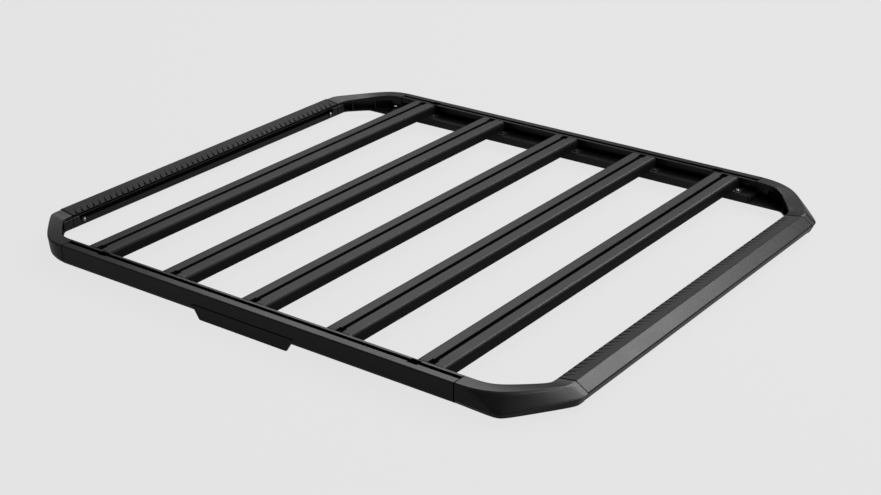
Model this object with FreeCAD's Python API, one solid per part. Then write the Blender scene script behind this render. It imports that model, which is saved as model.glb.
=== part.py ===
"""Low-profile roof platform rack: aluminium extrusions joined by four cast corners.

Millimetres. X runs along the vehicle with the front at +X, Y across it with the left at +Y, Z is up.
The origin is under the middle of the platform, level with the underside of the side plates.
Profiles are drawn with depths measured down from the deck and insets measured in from the outline.
Pieces are drawn about the middle crossbar and moved back to the platform's middle as they are written.
"""
import FreeCAD, Part
import math
import os
from collections import namedtuple
from FreeCAD import Vector

# Overall size
platform_length = 1483.0
platform_width = 1275.0
deck_height = 63.0

# Side rails: a slotted top, an outer wall and a hollow ledge that carries the crossbars
rail_height = 46.0
rail_top_width = 36.0
rail_ledge_width = 74.5
rail_wall = 3.0
rail_outer_wall = 6.5
rail_slot_wall = 2.5
rail_edge_radius = 3.0
rail_bottom_radius = 8.0

# T-slot shared by the crossbars and the side rails
slot_neck = 11.0
slot_lip = 4.0
slot_chamber_width = 18.0
slot_chamber_depth = 8.5
bar_entry_length = 15.0
rail_entry_length = 25.0
rail_entry_spacing = 868.0

# Crossbars
bar_count = 5
bar_setback = 82.0
bar_width = 72.0
bar_height = 25.0
bar_wall = 3.0
bar_shoulder_radius = 9.0

# End brackets that plug into the crossbars and stand on the ledges
bracket_gap = 1.5
bracket_end_wall = 3.0
bracket_foot_thickness = 3.0
bracket_foot_width = 108.0
bracket_foot_setback = 3.0
bracket_plug_length = 22.0
bracket_plug_clearance = 0.4

# End rails: a nose in front, a plain face at the rear, a channel open to the inside, a rebate on top for the grip
nose_depth = 25.0
nose_run = 28.0
crest_depth = 7.5
end_rail_top_width = 41.0
end_rail_inner_depth = 14.0
end_rail_foot_inset = 10.0
end_rail_foot_radius = 6.0
end_rail_ledge_width = 70.0
end_rail_lip_height = 14.0
rear_nose_inset = 17.0
end_rail_web_inset = 42.0
end_rail_wall = 3.0

# Grip strips in the rebates of the end rails
grip_thickness = 4.0
grip_margin = 2.0
grip_clearance = 0.2
groove_pitch = 18.6
groove_depth = 3.0
groove_width = 8.0
groove_run = 26.0
groove_slant = math.radians(30)

# Corners: the share of the outline that each casting takes along and across the platform
corner_run = 204.0
corner_reach = 152.0
corner_wall = 3.5
chamfer_start = 97.0
chamfer_stop = 24.0
crest_lag = 26.0
inner_top_lag = 47.0
foot_lag = 4.5
foot_inset = 6.0
foot_turn_inset = 1.5
crest_turn = 75.0
nose_turn = 14.0
inner_turn = 35.0
end_turn = 11.0
floor_chamfer = 48.0
floor_turn = 20.0
corner_rib_count = 2
guide_degree = 5
corner_rib_thickness = 3.0
joint_gap = 0.4
spigot_length = 30.0
spigot_clearance = 0.5

# Rear corners: steeper faces, turned earlier and more roundly than the front ones
rear_chamfer_start = 160.0
rear_chamfer_stop = 30.0
rear_crest_lead = 12.0
rear_foot_lag = 2.0
rear_crest_turn = 48.0
rear_nose_turn = 40.0

# Side plates hung below the middle of the side rails
plate_top_length = 288.0
plate_bottom_length = 245.0
plate_top_depth = 30.0
plate_thickness = 3.0
plate_corner_radius = 5.0
plate_clearance = 0.3

# Values that follow from the sizes above
half_length = (platform_length + rear_nose_inset) / 2
half_width = platform_width / 2
side_rail_half = half_length - corner_run - joint_gap
end_rail_half = half_width - corner_reach - joint_gap
slot_depth = slot_lip + slot_chamber_depth
ledge_depth = bar_height + bracket_foot_thickness
bar_pitch = 2 * (half_length - corner_run - bar_setback) / (bar_count - 1)
rail_slot_inset = rail_top_width - rail_slot_wall - slot_chamber_width / 2
bar_half = half_width - rail_top_width - bracket_gap - bracket_end_wall
grip_fall = (end_rail_inner_depth - crest_depth) / end_rail_top_width
rear_lean = (nose_run - rear_nose_inset) / (rail_height - rail_bottom_radius - crest_depth)
rear_foot_inset = rear_nose_inset - rear_lean * rail_bottom_radius
centring = Vector(-rear_nose_inset / 2, 0, 0)
beyond = 1.0

# The outline of a corner: where its chamfer starts and stops along each edge, and where the edges end
CornerShape = namedtuple("CornerShape", [
    "inner_start", "crest_start", "crest_turn", "nose_start", "nose_turn", "nose_inset", "nose_depth",
    "foot_start", "foot_turn_inset", "foot_inset", "stop"])
front_shape = CornerShape(
    chamfer_start + inner_top_lag, chamfer_start + crest_lag, crest_turn, chamfer_start, nose_turn,
    0.0, nose_depth, chamfer_start + foot_lag, foot_turn_inset, end_rail_foot_inset,
    corner_reach - chamfer_stop)
rear_shape = CornerShape(
    rear_chamfer_start, rear_chamfer_start - rear_crest_lead, rear_crest_turn, rear_chamfer_start,
    rear_nose_turn, rear_nose_inset, rail_height - rail_bottom_radius,
    rear_chamfer_start + rear_foot_lag, foot_inset, rear_foot_inset + foot_inset,
    corner_reach - rear_chamfer_stop)


def side_point(inset, depth, x=0.0):
    """A point measured in from the right-hand outline and down from the deck."""
    return Vector(x, inset - half_width, deck_height - depth)


def end_point(inset, depth, y=0.0):
    """A point measured in from the front outline and down from the deck."""
    return Vector(half_length - inset, y, deck_height - depth)


def bar_point(offset, depth, y=0.0):
    """A point measured from a crossbar's middle plane and down from the deck."""
    return Vector(offset, y, deck_height - depth)


def rounded_wire(points, radii=None):
    """A closed wire through points, each corner rounded by its radius where that isn't nought."""
    count = len(points)
    radii = radii or [0.0] * count
    starts, ends, arcs = list(points), list(points), []
    for i, corner in enumerate(points):
        if not radii[i]:
            continue
        to_last = (points[i - 1] - corner).normalize()
        to_next = (points[(i + 1) % count] - corner).normalize()
        half_angle = to_last.getAngle(to_next) / 2
        tangent = radii[i] / math.tan(half_angle)
        bisector = (to_last + to_next).normalize()
        middle = corner + bisector * (radii[i] / math.sin(half_angle) - radii[i])
        starts[i] = corner + to_last * tangent
        ends[i] = corner + to_next * tangent
        arcs.append(Part.Arc(starts[i], middle, ends[i]).toShape())
    lines = [Part.makeLine(ends[i], starts[(i + 1) % count]) for i in range(count)]
    return Part.Wire(Part.__sortEdges__(arcs + lines))


def extruded(wire, start, length):
    """The prism of a closed profile moved to a start and drawn out along a length."""
    face = Part.Face(wire)
    face.translate(start)
    return face.extrude(length)


def profile_box(point, low_offset, low_depth, high_offset, high_depth):
    """A rectangular profile between two corners, in the coordinates of one of the point functions."""
    return rounded_wire([
        point(low_offset, low_depth), point(high_offset, low_depth),
        point(high_offset, high_depth), point(low_offset, high_depth)])


def mirrored(shape, normal):
    """The shape on the other side of the platform's middle plane."""
    return shape.mirror(Vector(0, 0, 0), normal)


def t_slot_cuts(point, middle, start, length, entries, entry_length):
    """The neck, the chamber and the widened entries of a T-slot, as solids to cut away."""
    half_neck = slot_neck / 2
    half_chamber = slot_chamber_width / 2
    neck = profile_box(point, middle - half_neck, -beyond, middle + half_neck, slot_lip + beyond)
    chamber = profile_box(point, middle - half_chamber, slot_lip, middle + half_chamber, slot_depth)
    entry = profile_box(point, middle - half_chamber, -beyond, middle + half_chamber, slot_lip + beyond)
    cuts = [extruded(neck, start, length), extruded(chamber, start, length)]
    direction = Vector(length).normalize()
    for place in entries:
        cuts.append(extruded(entry, direction * (place - entry_length / 2), direction * entry_length))
    return cuts


def plate_outline(clearance):
    """The trapezium of a side plate on the right-hand outline, widened by a clearance."""
    top = plate_top_length / 2 + clearance
    bottom = plate_bottom_length / 2 + clearance
    return rounded_wire([
        side_point(0, plate_top_depth - clearance, -top), side_point(0, plate_top_depth - clearance, top),
        side_point(0, deck_height, bottom), side_point(0, deck_height, -bottom)],
        [0, 0, plate_corner_radius, plate_corner_radius])


def side_rail():
    """The right-hand side rail: T-slot, inward channel, hollow ledge and a seat for the side plate."""
    channel_depth = slot_depth + rail_slot_wall
    outline = rounded_wire(
        [side_point(0, 0), side_point(rail_top_width, 0), side_point(rail_top_width, channel_depth),
         side_point(rail_wall, channel_depth), side_point(rail_wall, ledge_depth),
         side_point(rail_ledge_width, ledge_depth), side_point(rail_ledge_width, rail_height),
         side_point(0, rail_height)],
        [rail_edge_radius, 0, 0, 0, 0, 0, 0, rail_bottom_radius])
    start = Vector(-side_rail_half, 0, 0)
    length = Vector(2 * side_rail_half, 0, 0)
    slot_edge = rail_slot_inset - slot_chamber_width / 2
    upper_cell = profile_box(side_point, rail_wall, rail_wall, slot_edge - rail_slot_wall, slot_depth)
    lower_cell = profile_box(side_point, rail_outer_wall, ledge_depth + rail_wall,
                             rail_ledge_width - rail_wall, rail_height - rail_wall)
    cuts = t_slot_cuts(side_point, rail_slot_inset, start, length,
                       [-rail_entry_spacing / 2, rail_entry_spacing / 2], rail_entry_length)
    cuts.append(extruded(upper_cell, start, length))
    cuts.append(extruded(lower_cell, start, length))
    cuts.append(extruded(plate_outline(plate_clearance), Vector(0, -beyond, 0),
                         Vector(0, plate_thickness + beyond, 0)))
    return extruded(outline, start, length).cut(cuts)


def side_plate():
    """The right-hand side plate: let into the rail so that its face lies flush, and hung below it."""
    return extruded(plate_outline(0), Vector(0, 0, 0), Vector(0, plate_thickness, 0))


def bar_outline():
    """The outside of a crossbar's profile, with round shoulders."""
    half = bar_width / 2
    return rounded_wire(
        [bar_point(-half, 0), bar_point(half, 0), bar_point(half, bar_height), bar_point(-half, bar_height)],
        [bar_shoulder_radius, bar_shoulder_radius, 0, 0])


def bar_cell(side, clearance):
    """A crossbar's hollow on one side of its slot, bevelled under the shoulder and shrunk by a clearance."""
    inner = side * (slot_chamber_width / 2 + bar_wall + clearance)
    outer = side * (bar_width / 2 - bar_wall - clearance)
    top = bar_wall + clearance
    bottom = bar_height - bar_wall - clearance
    bevel = bar_shoulder_radius - bar_wall
    return rounded_wire([
        bar_point(inner, top), bar_point(outer - side * bevel, top), bar_point(outer, top + bevel),
        bar_point(outer, bottom), bar_point(inner, bottom)])


def crossbar():
    """A crossbar in the middle of the platform: T-slot on top and three closed hollows."""
    start = Vector(0, -bar_half, 0)
    length = Vector(0, 2 * bar_half, 0)
    entry_place = bar_half - bar_entry_length / 2
    middle_cell = profile_box(bar_point, -slot_chamber_width / 2, slot_depth + bar_wall,
                              slot_chamber_width / 2, bar_height - bar_wall)
    cuts = t_slot_cuts(bar_point, 0, start, length, [-entry_place, entry_place], bar_entry_length)
    cuts.append(extruded(middle_cell, start, length))
    for side in (-1, 1):
        cuts.append(extruded(bar_cell(side, 0), start, length))
    return extruded(bar_outline(), start, length).cut(cuts)


def end_bracket():
    """The bracket at a crossbar's right-hand end: end wall, two plugs and a foot on the ledge."""
    outer_face = Vector(0, -bar_half - bracket_end_wall, 0)
    wall = extruded(bar_outline(), outer_face, Vector(0, bracket_end_wall, 0))
    half_slot = slot_chamber_width / 2
    slot = profile_box(bar_point, -half_slot, -beyond, half_slot, slot_depth)
    wall = wall.cut(extruded(slot, outer_face - Vector(0, beyond, 0), Vector(0, bracket_end_wall + 2 * beyond, 0)))
    pieces = []
    for side in (-1, 1):
        plug = bar_cell(side, bracket_plug_clearance)
        pieces.append(extruded(plug, Vector(0, -bar_half, 0), Vector(0, bracket_plug_length, 0)))
    foot_depth = bar_half + bracket_end_wall - (half_width - rail_ledge_width + bracket_foot_setback)
    half_foot = bracket_foot_width / 2
    foot = profile_box(bar_point, -half_foot, bar_height, half_foot, ledge_depth)
    pieces.append(extruded(foot, outer_face, Vector(0, foot_depth, 0)))
    return wall.fuse(pieces).removeSplitter()


def grip_depth(inset):
    """How far the top of the grip lies below the deck at an inset from the front outline."""
    return crest_depth + grip_fall * (inset - nose_run)


def end_rail(face, face_radii):
    """An end rail, drawn at the front: closed section, inward channel, upturned lip, a rebate for the grip.

    Its outer face is given as corners from the foot up to the crest, each with its radius.
    """
    rebate = nose_run + grip_margin
    top_end = nose_run + end_rail_top_width
    web = end_rail_web_inset
    wall = end_rail_wall
    lip = end_rail_ledge_width - wall
    face = [end_point(*corner) for corner in face]
    points = face + [
        end_point(nose_run, crest_depth), end_point(rebate, grip_depth(rebate)),
        end_point(rebate, grip_depth(rebate) + grip_thickness),
        end_point(top_end, grip_depth(top_end) + grip_thickness),
        end_point(top_end, grip_depth(top_end) + grip_thickness + wall),
        end_point(web, grip_depth(web) + grip_thickness + wall), end_point(web, rail_height - wall),
        end_point(lip, rail_height - wall), end_point(lip, rail_height - end_rail_lip_height),
        end_point(end_rail_ledge_width, rail_height - end_rail_lip_height),
        end_point(end_rail_ledge_width, rail_height)]
    radii = face_radii + [0.0] * (len(points) - len(face))
    start = Vector(0, -end_rail_half, 0)
    length = Vector(0, 2 * end_rail_half, 0)
    section = rounded_wire(face + [
        end_point(rebate, grip_depth(rebate) + grip_thickness),
        end_point(web, grip_depth(web) + grip_thickness), end_point(web, rail_height)])
    cell = section.makeOffset2D(-wall, 2)
    return extruded(rounded_wire(points, radii), start, length).cut(extruded(cell, start, length))


def grip_groove(y):
    """A groove to cut into the front grip: deepest at the inner edge, slanting out and up to nothing."""
    inner = nose_run + end_rail_top_width + beyond
    keel = end_point(inner, grip_depth(inner) + groove_depth, y)
    rise = 2 * groove_depth
    half = groove_width / 2 * rise / groove_depth
    section = rounded_wire([keel, keel + Vector(0, half, rise), keel + Vector(0, -half, rise)])
    climb = groove_depth + grip_fall * groove_run
    return Part.Face(section).extrude(Vector(groove_run, groove_run * math.tan(groove_slant), climb))


def grip_strip():
    """The front grip: a strip that fills the rebate of the front rail, grooved along its inner edge."""
    outer = nose_run + grip_margin + grip_clearance
    inner = nose_run + end_rail_top_width
    outline = rounded_wire([
        end_point(outer, grip_depth(outer)), end_point(inner, grip_depth(inner)),
        end_point(inner, grip_depth(inner) + grip_thickness), end_point(outer, grip_depth(outer) + grip_thickness)])
    strip = extruded(outline, Vector(0, -end_rail_half, 0), Vector(0, 2 * end_rail_half, 0))
    count = int(2 * end_rail_half / groove_pitch) - 1
    first = -groove_pitch * (count - 1) / 2 - groove_run * math.tan(groove_slant) / 2
    return strip.cut([grip_groove(first + number * groove_pitch) for number in range(count)])


def guide_line(start, first_turn, second_turn, end, turn_lengths, depths):
    """The poles of a smooth line round the corner: straight, chamfer, straight.

    Points are insets from the front and from the side. Each turn has a pole on itself and one before and
    after it, at its turn length. The depth eases from the first value to the second along the way.
    """
    plan = [Vector(*point, 0) for point in (start, first_turn, second_turn, end)]
    poles = [plan[0]]
    for turn, length in zip((1, 2), turn_lengths):
        back = (plan[turn - 1] - plan[turn]).normalize()
        ahead = (plan[turn + 1] - plan[turn]).normalize()
        poles.extend([plan[turn] + back * length, plan[turn], plan[turn] + ahead * length])
    poles.append(plan[3])
    spans = [last.distanceToPoint(this) for last, this in zip(poles, poles[1:])]
    line = []
    for number, pole in enumerate(poles):
        share = (sum(spans[:number]) - spans[0]) / (sum(spans) - spans[0] - spans[-1])
        share = min(max(share, 0.0), 1.0)
        eased = share * share * (3 - 2 * share)
        line.append(pole + Vector(0, 0, depths[0] + eased * (depths[1] - depths[0])))
    return line


def corner_guides(shape):
    """The four edges that run round a corner: inner top, crest, nose and foot."""
    top_end = nose_run + end_rail_top_width
    inner_top = guide_line(
        (corner_run, rail_top_width), (shape.inner_start, rail_top_width),
        (top_end, shape.stop), (top_end, corner_reach), (inner_turn, end_turn), (0, end_rail_inner_depth))
    crest = guide_line(
        (corner_run, 0), (shape.crest_start, 0), (nose_run, shape.stop), (nose_run, corner_reach),
        (shape.crest_turn, end_turn), (0, crest_depth))
    nose = guide_line(
        (corner_run, 0), (shape.nose_start, 0), (shape.nose_inset, shape.stop), (shape.nose_inset, corner_reach),
        (shape.nose_turn, end_turn), (rail_height - rail_bottom_radius, shape.nose_depth))
    foot = guide_line(
        (corner_run, foot_inset), (shape.foot_start, shape.foot_turn_inset),
        (shape.foot_inset, shape.stop), (shape.foot_inset, corner_reach),
        (shape.nose_turn, end_turn), (rail_height, rail_height))
    return inner_top, crest, nose, foot


def corner_point(guide):
    """Where a guide's (inset from front, inset from side, depth) lies at the front right corner."""
    return Vector(half_length - guide.x, guide.y - half_width, deck_height - guide.z)


def plan_prism(points, radii, low_depth, high_depth):
    """The prism of an outline of insets from front and side, between two depths at the corner."""
    wire = rounded_wire([corner_point(Vector(*point, low_depth)) for point in points], radii)
    return Part.Face(wire).extrude(Vector(0, 0, low_depth - high_depth))


def corner_body(shape):
    """The outside of the corner: ruled faces between the guides, the crest broken by a narrow strip."""
    inner_top, crest, nose, foot = corner_guides(shape)
    top_edge = [c + (t - c).normalize() * rail_edge_radius for c, t in zip(crest, inner_top)]
    side_edge = [c + (n - c).normalize() * rail_edge_radius for c, n in zip(crest, nose)]
    below = [Vector(pole.x, pole.y, rail_height) for pole in inner_top]
    rings = [[corner_point(pole) for pole in line]
             for line in (inner_top, top_edge, side_edge, nose, foot, below)]
    curves = []
    for poles in rings:
        curve = Part.BSplineCurve()
        curve.buildFromPoles(poles, False, guide_degree)
        curves.append(curve.toShape())
    faces = [Part.makeRuledSurface(curves[i - 1], curves[i]) for i in (0, 1, 2, 3, 4)]
    caps = [Part.makePolygon([poles[end] for poles in rings], True) for end in (0, -1)]
    joints = [Part.makeLine(rings[4][end], rings[5][end]) for end in (0, -1)]
    caps.append(Part.Wire([curves[4], joints[1], curves[5], joints[0]]))
    faces.extend(Part.Face(cap) for cap in caps)
    shell = Part.Shell([face for shape in faces for face in shape.Faces])
    shell.sewShape()
    return Part.Solid(shell.Shells[0])


def corner_floor(shape):
    """The plate under the corner that carries on the ledges of both rails, with an upstand at the joint."""
    middle = (shape.foot_inset + nose_run + end_rail_top_width) / 2
    plate = plan_prism(
        [(corner_run, rail_ledge_width), (end_rail_ledge_width + floor_chamfer, rail_ledge_width),
         (end_rail_ledge_width, rail_ledge_width + floor_chamfer),
         (end_rail_ledge_width, corner_reach), (middle, corner_reach), (middle, shape.stop),
         ((shape.crest_start + shape.inner_start) / 2, rail_top_width / 2), (corner_run, rail_top_width / 2)],
        [0, floor_turn, floor_turn, 0, 0, 0, 0, 0], rail_height - corner_wall, rail_height)
    upstand = plan_prism(
        [(corner_run, rail_top_width / 2), (corner_run, rail_ledge_width),
         (corner_run - corner_wall, rail_ledge_width), (corner_run - corner_wall, rail_top_width / 2)],
        None, ledge_depth, rail_height)
    return [plate, upstand]


def corner_pocket(shape):
    """The hollow of the corner, open to the inside, under a ceiling that falls towards the end rail."""
    wall = corner_wall
    foot = foot_inset + wall
    side_ceiling = slot_depth + rail_slot_wall
    end_ceiling = end_rail_inner_depth + grip_thickness + end_rail_wall
    hollow = plan_prism(
        [(corner_run - wall, foot), (shape.foot_start + wall / 2, foot),
         (shape.foot_inset + wall, shape.stop), (shape.foot_inset + wall, corner_reach - wall),
         (corner_run - wall, corner_reach - wall)],
        [0, nose_turn, 0, 0, 0], 0, rail_height - wall)
    under = rounded_wire([
        end_point(corner_run, side_ceiling), end_point(0, end_ceiling),
        end_point(0, rail_height), end_point(corner_run, rail_height)])
    under = extruded(under, Vector(0, -half_width, 0), Vector(0, corner_reach, 0))
    return hollow.common(under)


def corner_ribs(shape):
    """Upright webs across the pocket, square to the chamfer."""
    start = Vector(shape.nose_start, 0, 0)
    along = Vector(shape.nose_inset - shape.nose_start, shape.stop, 0)
    length = along.Length
    along.normalize()
    inward = Vector(along.y, -along.x, 0)
    ribs = []
    for number in range(corner_rib_count):
        middle = start + along * (length * (number + 1) / (corner_rib_count + 1))
        half = along * (corner_rib_thickness / 2)
        span = inward * (2 * rail_ledge_width)
        ring = [middle - half, middle + half, middle + half + span, middle - half + span]
        ribs.append(plan_prism([(point.x, point.y) for point in ring], None, 0, rail_height))
    return ribs


def corner_spigots(shape):
    """The tongues of a corner, drawn at the front right, that enter the hollow of each rail."""
    gap = spigot_clearance
    root = corner_wall / 2
    side = profile_box(side_point, rail_outer_wall + gap, ledge_depth + rail_wall + gap,
                       rail_ledge_width - rail_wall - gap, rail_height - rail_wall - gap)
    side_start = Vector(half_length - corner_run + root, 0, 0)
    end = profile_box(end_point, shape.foot_inset + end_rail_wall + gap, nose_depth + gap,
                      end_rail_web_inset - end_rail_wall - gap, rail_height - end_rail_wall - gap)
    end_start = Vector(0, corner_reach - half_width - root, 0)
    return [extruded(side, side_start, Vector(-spigot_length - root, 0, 0)),
            extruded(end, end_start, Vector(0, spigot_length + root, 0))]


def corner(shape):
    """A corner casting, drawn at the front right: a ribbed shell with a floor and a spigot for each rail."""
    hollow = corner_pocket(shape).cut(corner_ribs(shape))
    added = corner_floor(shape) + corner_spigots(shape)
    return corner_body(shape).cut(hollow).fuse(added).removeSplitter()


def export(name, shape):
    """Writes one node, centred, and stops where it isn't one closed, valid solid."""
    solids = shape.Solids
    if len(solids) != 1 or not solids[0].isValid():
        raise ValueError(f"{name}: {len(solids)} solids")
    solids[0].translated(centring).exportStep(f"parts/{name}.step")
    print(f"{name}: {solids[0].Volume / 1000:.1f} cm3")


def build():
    """Places every piece and writes it to its own file."""
    os.makedirs("parts", exist_ok=True)
    across = Vector(0, 1, 0)
    along = Vector(1, 0, 0)

    for name, piece in (("side_rail", side_rail()), ("side_plate", side_plate())):
        export(f"{name}_right", piece)
        export(f"{name}_left", mirrored(piece, across))

    bar = crossbar()
    bracket = end_bracket()
    for number in range(bar_count):
        place = Vector((number - (bar_count - 1) / 2) * bar_pitch, 0, 0)
        export(f"crossbar_{number + 1}", bar.translated(place))
        export(f"crossbar_{number + 1}_bracket_right", bracket.translated(place))
        export(f"crossbar_{number + 1}_bracket_left", mirrored(bracket, across).translated(place))

    front_face = [(end_rail_foot_inset, rail_height), (0, nose_depth)]
    rear_face = [(rear_foot_inset, rail_height)]
    export("front_rail", end_rail(front_face, [end_rail_foot_radius, rail_edge_radius]))
    export("rear_rail", mirrored(end_rail(rear_face, [rail_bottom_radius]), along))
    grip = grip_strip()
    export("front_grip", grip)
    export("rear_grip", mirrored(grip, along))

    piece = corner(front_shape)
    export("corner_front_right", piece)
    export("corner_front_left", mirrored(piece, across))
    piece = mirrored(corner(rear_shape), along)
    export("corner_rear_right", piece)
    export("corner_rear_left", mirrored(piece, across))


build()
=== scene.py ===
"""A black aluminium roof platform: slotted side rails and crossbars, cast corners and sloping end rails."""

import math

import bpy
import numpy as np
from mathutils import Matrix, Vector


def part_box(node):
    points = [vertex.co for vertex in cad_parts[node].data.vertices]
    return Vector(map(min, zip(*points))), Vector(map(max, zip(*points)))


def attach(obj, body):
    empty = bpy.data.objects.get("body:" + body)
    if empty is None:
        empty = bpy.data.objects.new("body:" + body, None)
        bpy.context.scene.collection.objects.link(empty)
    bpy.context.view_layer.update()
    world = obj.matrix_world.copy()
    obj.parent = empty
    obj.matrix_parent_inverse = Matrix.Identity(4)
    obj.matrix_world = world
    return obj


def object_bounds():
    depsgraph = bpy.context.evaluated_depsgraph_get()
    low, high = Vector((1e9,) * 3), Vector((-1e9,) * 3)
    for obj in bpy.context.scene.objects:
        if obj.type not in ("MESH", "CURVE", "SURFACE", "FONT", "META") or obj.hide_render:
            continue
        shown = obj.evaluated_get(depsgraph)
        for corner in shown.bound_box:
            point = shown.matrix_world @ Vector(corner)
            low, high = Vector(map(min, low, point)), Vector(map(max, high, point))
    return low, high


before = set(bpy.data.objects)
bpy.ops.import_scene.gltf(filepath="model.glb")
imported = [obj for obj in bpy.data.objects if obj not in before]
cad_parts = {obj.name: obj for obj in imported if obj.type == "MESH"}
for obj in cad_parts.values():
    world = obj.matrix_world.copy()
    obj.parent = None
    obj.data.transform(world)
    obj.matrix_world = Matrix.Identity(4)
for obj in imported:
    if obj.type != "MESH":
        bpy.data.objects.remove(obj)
bare_low, bare_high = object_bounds()

# Side rails
# Two aluminium extrusions with a slot along the top, powder coated satin black after they are cut.
# They carry the crossbars on a ledge and are pinned over the spigots of the corner castings.


def linear_colour(sheet_colour):
    """Turns an sRGB hex value into linear colour and alpha: the dark end is divided, the rest is a power."""
    parts = np.array([int(sheet_colour[i : i + 2], 16) for i in (1, 3, 5)]) / 255.0
    low = parts / 12.92
    high = ((parts + 0.055) / 1.055) ** 2.4
    return (*np.where(parts <= 0.04045, low, high), 1.0)


def add_node(owner, kind, settings, links):
    """Adds one node to a material or the world, sets its options and sockets, and links its inputs."""
    node = owner.node_tree.nodes.new(kind)
    for name, value in settings.items():
        if isinstance(name, int) or name in node.inputs:
            node.inputs[name].default_value = value
        else:
            setattr(node, name, value)
    for name, source in links.items():
        owner.node_tree.links.new(source, node.inputs[name])
    return node


full_gloss = 0.5


def paint_shade_into_gloss(material, share):
    """Keeps a coat's gloss at or below a share that varies over the piece: where the share is low it paints
    shade.
    """
    sheen = material.node_tree.nodes["Principled BSDF"].inputs["Specular IOR Level"]
    if sheen.is_linked:
        before = sheen.links[0].from_socket
        lower = add_node(material, "ShaderNodeMath", {"operation": "MINIMUM"}, {0: before, 1: share})
        share = lower.outputs["Value"]
    material.node_tree.links.new(share, sheen)


def coated_metal(name, colour, roughness, grain, relief, joint_shades):
    """A satin coating: one colour, a gloss a little uneven over a hand's width, and a fine orange peel.

    Each joint shade is an axis, a middle, a reach and a width. The pieces meet where the way from the middle
    equals the reach, and over the width the coat's gloss is taken away: a painted shadow of the rounded cut
    edges.
    """
    material = bpy.data.materials.new(name)
    material.use_nodes = True
    material.node_tree.nodes.clear()
    place = add_node(material, "ShaderNodeTexCoord", {}, {}).outputs["Object"]
    cloud_width = 0.12
    cloud_low = 0.3
    cloud_high = 0.7
    gloss_change = 0.03
    cloud = add_node(
        material,
        "ShaderNodeTexNoise",
        {"Scale": 1.0 / cloud_width, "Detail": 2.0},
        {"Vector": place},
    )
    gloss = add_node(
        material,
        "ShaderNodeMapRange",
        {
            "From Min": cloud_low,
            "From Max": cloud_high,
            "To Min": roughness - gloss_change,
            "To Max": roughness + gloss_change,
        },
        {"Value": cloud.outputs["Fac"]},
    )
    peel = add_node(
        material,
        "ShaderNodeTexNoise",
        {"Scale": 1.0 / grain, "Detail": 3.0},
        {"Vector": place},
    )
    peel_height = grain * 0.2
    bump = add_node(
        material,
        "ShaderNodeBump",
        {"Strength": relief, "Distance": peel_height},
        {"Height": peel.outputs["Fac"]},
    )
    coat_ior = 1.35
    shader = add_node(
        material,
        "ShaderNodeBsdfPrincipled",
        {"Base Color": linear_colour(colour), "IOR": coat_ior},
        {"Roughness": gloss.outputs["Result"], "Normal": bump.outputs["Normal"]},
    )
    parts = add_node(material, "ShaderNodeSeparateXYZ", {}, {"Vector": place})
    for axis, middle, reach, width in joint_shades:
        way = add_node(
            material,
            "ShaderNodeMath",
            {"operation": "SUBTRACT", 1: middle},
            {0: parts.outputs[axis]},
        )
        away = add_node(material, "ShaderNodeMath", {"operation": "ABSOLUTE"}, {0: way.outputs["Value"]})
        edge = add_node(
            material,
            "ShaderNodeMath",
            {"operation": "COMPARE", 1: reach, 2: width},
            {0: away.outputs["Value"]},
        )
        painted_joint_shade = add_node(
            material,
            "ShaderNodeMapRange",
            {"To Min": full_gloss, "To Max": 0.0},
            {"Value": edge.outputs["Value"]},
        )
        paint_shade_into_gloss(material, painted_joint_shade.outputs["Result"])
    add_node(material, "ShaderNodeOutputMaterial", {}, {"Surface": shader.outputs["BSDF"]})
    return material


def dress(node_names, material):
    """Gives the named pieces of the frame one finish."""
    for node_name in node_names:
        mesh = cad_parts[node_name].data
        mesh.materials.clear()
        mesh.materials.append(material)


# Satin black powder coat: nearly black itself, with a broad soft sheen and a grain of about a millimetre,
# drawn that coarse so that it shows. The rails meet the corners at equal reaches from their own middle.
rail_middle_x = -0.0085
side_joint_reach = 0.5458
joint_shade_width = 0.0013
# At each side joint the coat loses its gloss over a narrow band: a painted shadow line in the seam.
side_joint_shade = ("X", rail_middle_x, side_joint_reach, joint_shade_width)
rail_coat = coated_metal("satin_black_powder_coat", "#101011", 0.30, 0.0012, 0.08, [side_joint_shade])
dress(("side_rail_right", "side_rail_left"), rail_coat)

# Side plates
# A pressed aluminium plate let into the middle of each side rail, coated like the rail and left bare.
# Its top edge is rounded over, and along it the coat's gloss is taken away: a painted shadow of the rail.
plate_top = 0.033
plate_shade_width = 0.0025
plate_edge_shade = ("Z", 0.0, plate_top, plate_shade_width)
plate_coat = coated_metal("satin_black_plate_coat", "#0F0F10", 0.30, 0.0012, 0.06, [plate_edge_shade])
dress(("side_plate_right", "side_plate_left"), plate_coat)

# Crossbars
# Five aluminium extrusions with round shoulders and a slot along the top, cut to length and powder coated.
# The tops keep a little more gloss than the coat and the sides much less: painted sheen on the tops, painted
# shade on the sides.
bar_coat = coated_metal("satin_black_bar_coat", "#101011", 0.47, 0.0012, 0.07, [])
bar_place = add_node(bar_coat, "ShaderNodeTexCoord", {}, {}).outputs["Object"]
bar_height = add_node(bar_coat, "ShaderNodeSeparateXYZ", {}, {"Vector": bar_place}).outputs["Z"]
shoulder_height = 0.0614
top_height = 0.0629
bar_painted_sheen_and_shade = add_node(
    bar_coat,
    "ShaderNodeMapRange",
    {"From Min": shoulder_height, "From Max": top_height, "To Min": 0.1, "To Max": 0.55},
    {"Value": bar_height},
)
paint_shade_into_gloss(bar_coat, bar_painted_sheen_and_shade.outputs["Result"])
bar_names = [f"crossbar_{number}" for number in range(1, 6)]
dress(bar_names, bar_coat)

# Crossbar brackets
# A glass filled nylon plug and foot at each end of a bar, moulded black.
# The plug closes the bar's end and the foot is screwed down to the rail's ledge.
bracket_nylon = coated_metal("moulded_black_nylon", "#0C0C0D", 0.55, 0.0009, 0.15, [])
bracket_names = [f"{bar}_bracket_{side}" for bar in bar_names for side in ("right", "left")]
dress(bracket_names, bracket_nylon)

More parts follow.
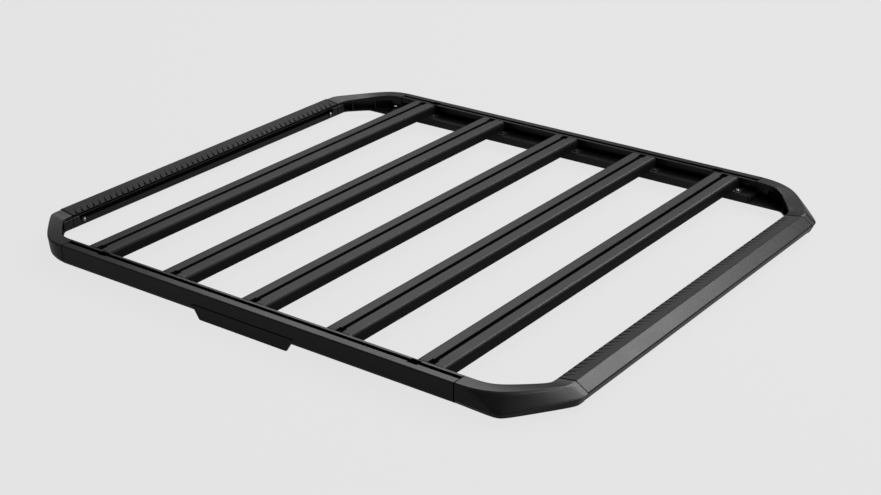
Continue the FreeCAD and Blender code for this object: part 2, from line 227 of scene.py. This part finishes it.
# End rails
# Two aluminium extrusions, the front one with a long sloping nose and the rear one with a steep face.
# Both are coated like the side rails and sit over the corners' spigots.
end_joint_reach = 0.4853
# At each end joint the coat loses its gloss over the same narrow band: a painted shadow line in the seam.
end_joint_shade = ("Y", 0.0, end_joint_reach, joint_shade_width)
end_coat = coated_metal("satin_black_end_rail_coat", "#101011", 0.33, 0.0012, 0.08, [end_joint_shade])
dress(("front_rail", "rear_rail"), end_coat)

# Grip strips
# A moulded rubber strip with slanting grooves, pressed into the top of each end rail.
# Its plain ends are rounded off where the corners begin, and there the gloss is taken away: a painted shadow
# where the strip meets the corners.
grip_end_shade_width = 0.0035
grip_end_shade = ("Y", 0.0, end_joint_reach, grip_end_shade_width)
grip_rubber = coated_metal("moulded_black_rubber", "#0E0E0F", 0.58, 0.0010, 0.25, [grip_end_shade])
dress(("front_grip", "rear_grip"), grip_rubber)

# The grooves are darkened with painted shade: the gloss fades over a millimetre below the strip's sloping
# top.
grip_place = add_node(grip_rubber, "ShaderNodeTexCoord", {}, {}).outputs["Object"]
grip_parts = add_node(grip_rubber, "ShaderNodeSeparateXYZ", {}, {"Vector": grip_place})
grip_way = add_node(
    grip_rubber,
    "ShaderNodeMath",
    {"operation": "SUBTRACT", 1: rail_middle_x},
    {0: grip_parts.outputs["X"]},
)
grip_reach = add_node(
    grip_rubber,
    "ShaderNodeMath",
    {"operation": "ABSOLUTE"},
    {0: grip_way.outputs["Value"]},
)
grip_slope = 6.5 / 41.0
grip_outer_reach = 0.722
grip_outer_top = 0.0555
grip_top = add_node(
    grip_rubber,
    "ShaderNodeMath",
    {"operation": "MULTIPLY_ADD", 1: grip_slope, 2: grip_outer_top - grip_slope * grip_outer_reach},
    {0: grip_reach.outputs["Value"]},
)
grip_depth = add_node(
    grip_rubber,
    "ShaderNodeMath",
    {"operation": "SUBTRACT"},
    {0: grip_top.outputs["Value"], 1: grip_parts.outputs["Z"]},
)
groove_shade_from = 0.0001
groove_shade_below = 0.0010
grip_groove_shade = add_node(
    grip_rubber,
    "ShaderNodeMapRange",
    {"From Min": groove_shade_from, "From Max": groove_shade_below, "To Min": full_gloss, "To Max": 0.0},
    {"Value": grip_depth.outputs["Value"]},
)
paint_shade_into_gloss(grip_rubber, grip_groove_shade.outputs["Result"])

# Corner castings
# Four die cast aluminium corners with a fine blasted skin under the same black coat.
# Each has a spigot for the side rail and one for the end rail.
# The casting's coat loses its gloss at both joints: painted shadow lines in the seams.
corner_coat = coated_metal("satin_black_cast_coat", "#111112", 0.31, 0.0016, 0.10, [side_joint_shade, end_joint_shade])
corner_names = [f"corner_{end}_{side}" for end in ("front", "rear") for side in ("right", "left")]
dress(corner_names, corner_coat)

# Corner skins
# The smooth outer face of each casting, a cast skin that closes the wall over the hollow behind it.
# It lies on the casting's own face and sinks under it at every edge.


def guide_poles(stops, turn_lengths, depths):
    """The poles of a line of three straights: one on each turn and one a turn length to each side of it.

    The depth eases from the first value to the second by the smooth step of the share of the way gone.
    """
    stops = np.asarray(stops, float)
    ways = np.diff(stops, axis=0)
    ways /= np.linalg.norm(ways, axis=1, keepdims=True)
    first, second = turn_lengths
    poles = np.stack(
        [
            stops[0],
            stops[1] - first * ways[0],
            stops[1],
            stops[1] + first * ways[1],
            stops[2] - second * ways[1],
            stops[2],
            stops[2] + second * ways[2],
            stops[3],
        ]
    )
    spans = np.linalg.norm(np.diff(poles, axis=0), axis=1)
    gone = np.concatenate([[0.0], np.cumsum(spans)])
    share = np.clip((gone - spans[0]) / (gone[-1] - spans[0] - spans[-1]), 0.0, 1.0)
    depth = depths[0] + share * share * (3.0 - 2.0 * share) * (depths[1] - depths[0])
    return np.column_stack([poles, depth])


def smooth_line(poles, shares):
    """Points on the curve that the poles pull: the sum of poles weighted by the spline basis of degree 5.

    A basis of one degree blends two neighbours of the degree below by the distance to their knots.
    """
    degree = 5
    spans = len(poles) - degree
    knots = np.concatenate([np.zeros(degree), np.arange(spans + 1.0), np.full(degree, float(spans))])
    place = np.minimum(shares * spans, spans - 1e-9)[:, None]
    basis = ((place >= knots[:-1]) & (place < knots[1:])).astype(float)
    for order in range(1, degree + 1):
        rise = knots[order:-1] - knots[: -order - 1]
        fall = knots[order + 1 :] - knots[1:-order]
        up = (place - knots[: -order - 1]) / np.where(rise > 0, rise, 1.0) * (rise > 0)
        down = (knots[order + 1 :] - place) / np.where(fall > 0, fall, 1.0) * (fall > 0)
        basis = up * basis[:, :-1] + down * basis[:, 1:]
    return basis @ poles


def swell(shares, edge):
    """Nought at both ends and one in between, with a smooth step over the edge share."""
    step = np.clip(np.minimum(shares, 1.0 - shares) / edge, 0.0, 1.0)
    return step * step * (3.0 - 2.0 * step)


def corner_skins(name, crest_poles, nose_poles, end_x, way):
    """The skins of a right and a left corner: straight lines from the crest's edge to the nose.

    Each line joins the two curves at one share. Poles are millimetres in from the end, in from the side
    and down from the deck. The points are lifted along the face's normal: a hair above the casting in the
    middle and below it at every edge.
    """
    downward = nose_poles - crest_poles
    edge_radius = 3.0
    edge_poles = crest_poles + edge_radius * downward / np.linalg.norm(downward, axis=1, keepdims=True)
    along = np.linspace(0.0, 1.0, 121)
    across = np.linspace(0.0, 1.0, 25)
    upper = smooth_line(edge_poles, along)
    lower = smooth_line(nose_poles, along)
    skin = upper[None] + across[:, None, None] * (lower - upper)[None]
    side_y = -637.5
    deck_z = 63.0
    skin = np.array([end_x, side_y, deck_z]) + skin * np.array([way, 1.0, -1.0])
    normal = np.cross(np.gradient(skin, axis=0), np.gradient(skin, axis=1))
    normal /= np.linalg.norm(normal, axis=-1, keepdims=True)
    facing = np.sign((normal * np.array([-way, -1.0, 0.0])).sum())
    sunk = -0.3
    rise = 0.48
    lift = sunk + rise * swell(along, 0.1)[None] * swell(across, 0.06)[:, None]
    skin = (skin + facing * normal * lift[..., None]) / 1000.0
    skin = np.clip(skin, list(bare_low), list(bare_high))
    rows, columns, _ = skin.shape
    first = (np.arange(rows - 1)[:, None] * columns + np.arange(columns - 1)).ravel()
    faces = np.column_stack([first, first + columns, first + columns + 1, first + 1])[:, :: int(facing)]
    points = skin.reshape(-1, 3)
    faces = np.concatenate([faces, faces[:, ::-1] + len(points)])
    points = np.concatenate([points, points * np.array([1.0, -1.0, 1.0])])
    mesh = bpy.data.meshes.new(name)
    mesh.from_pydata(points.tolist(), [], faces.tolist())
    mesh.polygons.foreach_set("use_smooth", np.ones(len(faces), bool))
    mesh.materials.append(corner_coat)
    skins = bpy.data.objects.new(name, mesh)
    bpy.context.scene.collection.objects.link(skins)
    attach(skins, "root")


casting_run = 204.0
casting_reach = 152.0
crest_inset = 28.0
crest_depths = (0.0, 7.5)
end_turn = 11.0

front_stop = 128.0
front_crest = [(casting_run, 0.0), (123.0, 0.0), (crest_inset, front_stop), (crest_inset, casting_reach)]
front_nose = [(casting_run, 0.0), (97.0, 0.0), (0.0, front_stop), (0.0, casting_reach)]
front_end = 741.5
corner_skins(
    "front_corner_skins",
    guide_poles(front_crest, (75.0, end_turn), crest_depths),
    guide_poles(front_nose, (14.0, end_turn), (38.0, 25.0)),
    front_end,
    -1.0,
)

rear_stop = 122.0
nose_inset = 17.0
rear_crest = [(casting_run, 0.0), (148.0, 0.0), (crest_inset, rear_stop), (crest_inset, casting_reach)]
rear_nose = [(casting_run, 0.0), (160.0, 0.0), (nose_inset, rear_stop), (nose_inset, casting_reach)]
rear_end = -758.5
corner_skins(
    "rear_corner_skins",
    guide_poles(rear_crest, (48.0, end_turn), crest_depths),
    guide_poles(rear_nose, (40.0, end_turn), (38.0, 38.0)),
    rear_end,
    1.0,
)

# Bracket screws
# Socket cap screws, two to each bracket foot, that hold the bars to the rails' ledges.
# The two nearest the front are zinc plated and the others have a black oxide skin.


def lathe(profile, turns):
    """Carries a profile of radius and height round the upright axis: x is radius by cosine, y by sine."""
    angle = np.linspace(0.0, 2.0 * math.pi, turns, endpoint=False)
    radius = profile[:, 0][:, None]
    x = radius * np.cos(angle)
    y = radius * np.sin(angle)
    z = np.broadcast_to(profile[:, 1][:, None], x.shape)
    return np.stack([x, y, z], axis=-1)


def grid_faces(rows, columns):
    """Quads between neighbouring rows and columns of a grid whose columns run round and close."""
    row = np.arange(rows - 1)[:, None]
    column = np.arange(columns)[None, :]
    after = (column + 1) % columns
    corners = (row * columns + column, row * columns + after)
    corners += ((row + 1) * columns + after, (row + 1) * columns + column)
    return np.stack(np.broadcast_arrays(*corners), axis=-1).reshape(-1, 4)


def set_of_pieces(name, form, places, axes, finish):
    """One mesh of equal pieces: the form's grid, its upright axis turned to each given one, then moved."""
    rows, columns, _ = form.shape
    points = form.reshape(-1, 3)
    axes = np.asarray(axes, float)
    places = np.asarray(places, float)
    across = np.where(np.abs(axes[:, 2:3]) > 0.9, [[1.0, 0.0, 0.0]], [[0.0, 0.0, 1.0]])
    first = np.cross(across, axes)
    first /= np.linalg.norm(first, axis=1, keepdims=True)
    second = np.cross(axes, first)
    turned = points[:, 0:1] * first[:, None]
    turned = turned + points[:, 1:2] * second[:, None]
    turned = turned + points[:, 2:3] * axes[:, None]
    moved = (turned + places[:, None]).reshape(-1, 3)
    faces = grid_faces(rows, columns)
    shift = (np.arange(len(places)) * len(points))[:, None, None]
    faces = (faces[None] + shift).reshape(-1, 4)
    mesh = bpy.data.meshes.new(name)
    mesh.from_pydata(moved.tolist(), [], faces.tolist())
    mesh.validate()
    mesh.materials.append(finish)
    pieces = bpy.data.objects.new(name, mesh)
    bpy.context.scene.collection.objects.link(pieces)
    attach(pieces, "root")


# Bright zinc plate: a pale metal with a soft mirror, a little cloudy.
zinc_plate = bpy.data.materials.new("bright_zinc_plate")
zinc_plate.use_nodes = True
zinc_plate.node_tree.nodes.clear()
zinc_cloud_width = 0.004
zinc_place = add_node(zinc_plate, "ShaderNodeTexCoord", {}, {}).outputs["Object"]
zinc_cloud = add_node(
    zinc_plate,
    "ShaderNodeTexNoise",
    {"Scale": 1.0 / zinc_cloud_width},
    {"Vector": zinc_place},
)
zinc_gloss = add_node(
    zinc_plate,
    "ShaderNodeMapRange",
    {"To Min": 0.22, "To Max": 0.42},
    {"Value": zinc_cloud.outputs["Fac"]},
)
zinc_shader = add_node(
    zinc_plate,
    "ShaderNodeBsdfPrincipled",
    {"Base Color": linear_colour("#A4A5A8"), "Metallic": 1.0},
    {"Roughness": zinc_gloss.outputs["Result"]},
)
add_node(zinc_plate, "ShaderNodeOutputMaterial", {}, {"Surface": zinc_shader.outputs["BSDF"]})

cap_radius = 0.0055
cap_height = 0.004
cap_sunk = 0.0006
cap_edge = 0.0008
socket_radius = 0.0025
socket_floor = cap_height - 0.0025
socket_centre = 0.00002
cap_profile = np.array(
    [
        [cap_radius, -cap_sunk],
        [cap_radius, cap_height - cap_edge],
        [cap_radius - cap_edge, cap_height],
        [socket_radius, cap_height],
        [socket_radius, socket_floor],
        [socket_centre, socket_floor],
    ]
)
cap_head = lathe(cap_profile, 24)
foot_thickness = 0.003
screw_from_edge = 0.009
screw_from_end = 0.022
foot_places = []
for bracket in bracket_names:
    low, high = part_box(bracket)
    side = -1.0 if bracket.endswith("right") else 1.0
    outer_y = low.y if side < 0 else high.y
    for screw_x in (low.x + screw_from_edge, high.x - screw_from_edge):
        foot_places.append((screw_x, outer_y - side * screw_from_end, low.z + foot_thickness))
foot_places = np.array(foot_places)
outermost = foot_places[:, 0] > foot_places[:, 0].max() - 0.001
upright = [(0.0, 0.0, 1.0)]
set_of_pieces(
    "outer_bracket_screws",
    cap_head,
    foot_places[outermost],
    upright * int(outermost.sum()),
    zinc_plate,
)

# Black oxide: the same screws elsewhere, dark with a low gloss.
black_oxide = coated_metal("black_oxide_steel", "#141415", 0.45, 0.0006, 0.05, [])
set_of_pieces(
    "inner_bracket_screws",
    cap_head,
    foot_places[~outermost],
    upright * int((~outermost).sum()),
    black_oxide,
)

# Joint blocks
# The block on each rear casting that laps into the rear rail's channel and closes its end, cast with the
# corner, and the block in each casting behind the side rail's channel.


def soft_block(size):
    """A block with soft edges: half the size times signed powers of the cosines and sines of two angles."""
    sharpness = 0.12
    pole_gap = 1e-5
    turn = np.linspace(-math.pi, math.pi, 48, endpoint=False)
    rise = np.linspace(-math.pi / 2 + pole_gap, math.pi / 2 - pole_gap, 25)[:, None]
    shares = [np.cos(rise), np.cos(rise), np.ones_like(rise)]
    angles = (np.cos(turn), np.sin(turn), np.sin(rise) + 0.0 * turn)
    bent = [np.sign(a) * np.abs(a) ** sharpness * s**sharpness for a, s in zip(angles, shares)]
    return np.stack(np.broadcast_arrays(*bent), axis=-1) * np.asarray(size) / 2


rear_block_size = (0.0515, 0.0273, 0.0246)
rear_block_y = 0.48925
rear_block_places = [(-0.70185, y, 0.0295) for y in (-rear_block_y, rear_block_y)]
set_of_pieces(
    "rear_joint_blocks",
    soft_block(rear_block_size),
    rear_block_places,
    upright * 2,
    corner_coat,
)

side_block_size = (0.031, 0.034, 0.0126)
side_block_y = 0.618
side_block_places = [(x, y, 0.0415) for x in (0.5545, -0.5715) for y in (-side_block_y, side_block_y)]
set_of_pieces(
    "side_joint_blocks",
    soft_block(side_block_size),
    side_block_places,
    upright * 4,
    corner_coat,
)

# Grip rims
# A low rim along the inner edge of each grip strip, where the grooves run out.
# It is rubber, moulded in one with the strip.


def drawn_bar(profile, start, stop):
    """A closed profile of x and z drawn along y, with each end gathered to the middle of the profile."""
    middle = np.broadcast_to(profile.mean(axis=0), profile.shape)
    rings = np.stack([middle, profile, profile, middle])
    y = np.broadcast_to(np.array([start, start, stop, stop])[:, None], rings.shape[:2])
    return np.stack([rings[..., 0], y, rings[..., 1]], axis=-1)


def strip_piece(name, form, finish):
    """One piece from a grid whose columns run round and close."""
    mesh = bpy.data.meshes.new(name)
    faces = grid_faces(form.shape[0], form.shape[1])
    mesh.from_pydata(form.reshape(-1, 3).tolist(), [], faces.tolist())
    mesh.materials.append(finish)
    strip = bpy.data.objects.new(name, mesh)
    bpy.context.scene.collection.objects.link(strip)
    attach(strip, "root")


rim_inner = 0.6725
rim_outer = rim_inner + 0.0011
rim_top = 0.0488
rim_foot = rim_top - 0.0035
rim_tilt = 0.0001
rim_reach = 0.482
rim_profile = np.array(
    [
        [rim_inner, rim_foot],
        [rim_outer, rim_foot],
        [rim_outer, rim_top + rim_tilt],
        [rim_inner, rim_top - rim_tilt],
    ]
)
front_rim = drawn_bar(rim_profile, -rim_reach, rim_reach)
rear_rim = front_rim[:, ::-1] * np.array([-1.0, 1.0, 1.0]) + np.array([2.0 * rail_middle_x, 0.0, 0.0])
strip_piece("front_grip_rim", front_rim, grip_rubber)
strip_piece("rear_grip_rim", rear_rim, grip_rubber)

# Ledge beads
# A low bead drawn along the inner edge of each side rail's ledge.
# It is part of the same aluminium extrusion and has the same coat.
ledge_top = 0.035
bead_inner = 0.5631
bead_outer = bead_inner + 0.0024
bead_foot = ledge_top - 0.001
bead_top = ledge_top + 0.0014
bead_edge = 0.0005
bead_profile = np.array(
    [
        [bead_inner, bead_foot],
        [bead_outer, bead_foot],
        [bead_outer, bead_top - bead_edge],
        [bead_outer - bead_edge, bead_top],
        [bead_inner + bead_edge, bead_top],
        [bead_inner, bead_top - bead_edge],
    ]
)
bead_start = -0.5541
bead_stop = 0.5371
left_bead = drawn_bar(bead_profile, bead_start, bead_stop)[:, ::-1][..., [1, 0, 2]]
right_bead = left_bead[:, ::-1] * np.array([1.0, -1.0, 1.0])
strip_piece("left_ledge_bead", left_bead, rail_coat)
strip_piece("right_ledge_bead", right_bead, rail_coat)

# Channel screws
# A zinc plated cap screw on a dark washer at each end of the rear rail's lip, beside the joint block.
# The screw is a size smaller than those on the bracket feet.
washer_radius = 0.0075
washer_edge = 0.0069
washer_bore = 0.0040
washer_back = -0.0004
washer_front = 0.0016
washer_shoulder = 0.0012
washer_profile = np.array(
    [
        [washer_radius, washer_back],
        [washer_radius, washer_shoulder],
        [washer_edge, washer_front],
        [washer_bore, washer_front],
        [washer_bore, washer_back],
    ]
)
washer = lathe(washer_profile, 32)
small_cap = cap_head * 0.7
lip_y = 0.452
lip_places = [(-0.6885, y, 0.0285) for y in (-lip_y, lip_y)]
lip_axes = [(1.0, 0.0, 0.0)] * 2
set_of_pieces("channel_washers", washer, lip_places, lip_axes, black_oxide)
set_of_pieces("channel_screws", small_cap, lip_places, lip_axes, zinc_plate)

# Studio
# A pale paper floor that runs on as the backdrop, and three soft boxes that hang over the platform.
# The camera stands at the photograph's viewing angle.
floor_size = 30.0
floor_gap = 0.0005
floor_mesh = bpy.data.meshes.new("studio_floor")
corner_places = np.array([(-1, -1), (1, -1), (1, 1), (-1, 1)]) * floor_size / 2
floor_points = np.column_stack([corner_places, np.full(4, bare_low.z - floor_gap)])
floor_mesh.from_pydata(floor_points.tolist(), [], [(0, 1, 2, 3)])
floor = bpy.data.objects.new("studio_floor", floor_mesh)
bpy.context.scene.collection.objects.link(floor)

# Pale seamless paper: seen as the light grey of the backdrop, kept dim where the coat mirrors it.
backdrop_grey = linear_colour("#E5E5E5")
paper = bpy.data.materials.new("pale_studio_paper")
paper.use_nodes = True
paper.node_tree.nodes.clear()
paper_shader = add_node(paper, "ShaderNodeBsdfDiffuse", {"Color": linear_colour("#6C6C6C")}, {})
paper_glow = add_node(paper, "ShaderNodeEmission", {"Color": backdrop_grey, "Strength": 1.127}, {})
seen = add_node(paper, "ShaderNodeLightPath", {}, {})
shadow_share = 0.15
mirror_share = 0.25
seen_share = add_node(
    paper,
    "ShaderNodeMapRange",
    {"To Max": 1.0 - shadow_share},
    {"Value": seen.outputs["Is Camera Ray"]},
)
glow_share = add_node(
    paper,
    "ShaderNodeMath",
    {"operation": "MULTIPLY_ADD", 1: mirror_share},
    {0: seen.outputs["Is Glossy Ray"], 2: seen_share.outputs["Result"]},
)
paper_mix = add_node(
    paper,
    "ShaderNodeMixShader",
    {},
    {
        "Fac": glow_share.outputs["Value"],
        1: paper_shader.outputs["BSDF"],
        2: paper_glow.outputs["Emission"],
    },
)
add_node(paper, "ShaderNodeOutputMaterial", {}, {"Surface": paper_mix.outputs["Shader"]})
floor_mesh.materials.append(paper)

# Studio air: a faint even light, seen as the same grey as the paper so that no horizon shows.
world = bpy.data.worlds.new("studio_air")
bpy.context.scene.world = world
world.use_nodes = True
world.node_tree.nodes.clear()
sky_white = linear_colour("#FFFFFF")
sky_light = add_node(world, "ShaderNodeBackground", {"Color": sky_white, "Strength": 0.2}, {})
sky_seen = add_node(world, "ShaderNodeBackground", {"Color": backdrop_grey, "Strength": 1.0}, {})
eye = add_node(world, "ShaderNodeLightPath", {}, {})
sky_mix = add_node(
    world,
    "ShaderNodeMixShader",
    {},
    {
        "Fac": eye.outputs["Is Camera Ray"],
        1: sky_light.outputs["Background"],
        2: sky_seen.outputs["Background"],
    },
)
add_node(world, "ShaderNodeOutputWorld", {}, {"Surface": sky_mix.outputs["Shader"]})


def soft_box(name, place, size, power):
    """A rectangular area lamp that points at the middle of the platform."""
    lamp = bpy.data.lights.new(name, "AREA")
    lamp.shape = "RECTANGLE"
    lamp.size, lamp.size_y = size
    lamp.energy = power
    holder = bpy.data.objects.new(name, lamp)
    holder.location = place
    holder.rotation_euler = (-Vector(place)).to_track_quat("-Z", "Y").to_euler()
    bpy.context.scene.collection.objects.link(holder)


soft_box("far_soft_box", (0.81, 3.02, 3.24), (3.0, 2.0), 180.0)
soft_box("rear_soft_box", (-2.37, 2.64, 2.77), (2.0, 1.75), 30.0)
soft_box("front_soft_box", (2.79, 0.54, 3.49), (3.0, 3.0), 141.0)

camera_data = bpy.data.cameras.new("studio_camera")
camera_data.sensor_fit = "HORIZONTAL"
camera_data.sensor_width = 36.0
camera_data.lens = 67.59
camera_data.clip_end = 100.0
camera = bpy.data.objects.new("studio_camera", camera_data)
azimuth = math.radians(37.0187)
elevation = math.radians(24.2268)
roll = math.radians(-0.6755)
camera_place = (2.1638, -2.8301, 1.5709)
back = np.array(
    [
        math.sin(azimuth) * math.cos(elevation),
        -math.cos(azimuth) * math.cos(elevation),
        math.sin(elevation),
    ]
)
level = np.array([math.cos(azimuth), math.sin(azimuth), 0.0])
right = level * math.cos(roll) + np.cross(back, level) * math.sin(roll)
stance = np.eye(4)
stance[:3, 0] = right
stance[:3, 1] = np.cross(back, right)
stance[:3, 2] = back
stance[:3, 3] = camera_place
camera.matrix_world = stance.T
bpy.context.scene.collection.objects.link(camera)
bpy.context.scene.camera = camera
bpy.context.scene.view_settings.view_transform = "Standard"
